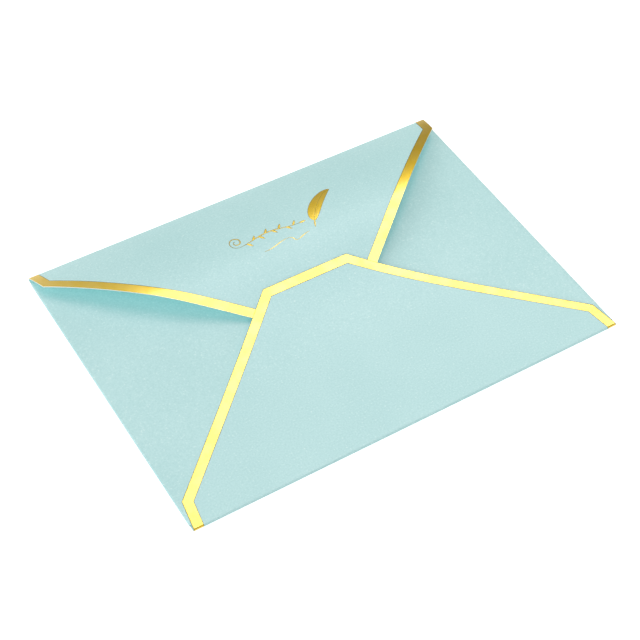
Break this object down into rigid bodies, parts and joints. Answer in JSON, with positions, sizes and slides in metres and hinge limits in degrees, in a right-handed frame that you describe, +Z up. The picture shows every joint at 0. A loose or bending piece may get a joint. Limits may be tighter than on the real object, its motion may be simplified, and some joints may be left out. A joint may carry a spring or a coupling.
{
  "type": "paper envelope",
  "caption": "Folded paper envelope lying flap side up: a bowed closing flap tucked under a glued pocket flap, with gold foil borders and a small feather ornament.",
  "frame": {"origin": "middle of the envelope's front, which lies on the table", "axes": "+X along the long side, to the right for a reader with the closing fold away; +Y from the pocket fold to the closing fold; +Z up, out of the flap side"},
  "size_m": [0.175, 0.1252, 0.0084],
  "materials": {
    "pearl_paper": "mint pearl paper with a fine grain and a soft sheen",
    "gold_foil": "hot-stamped gold foil, bright and slightly satin"
  },
  "bodies": {
    "root": {"folded_sheet": "pearl_paper", "closing_flap_foil": "gold_foil", "pocket_flap_foil": "gold_foil", "feather_foil": "gold_foil", "sprig_foil": "gold_foil", "pen_line_foil": "gold_foil"}
  },
  "joints": []
}
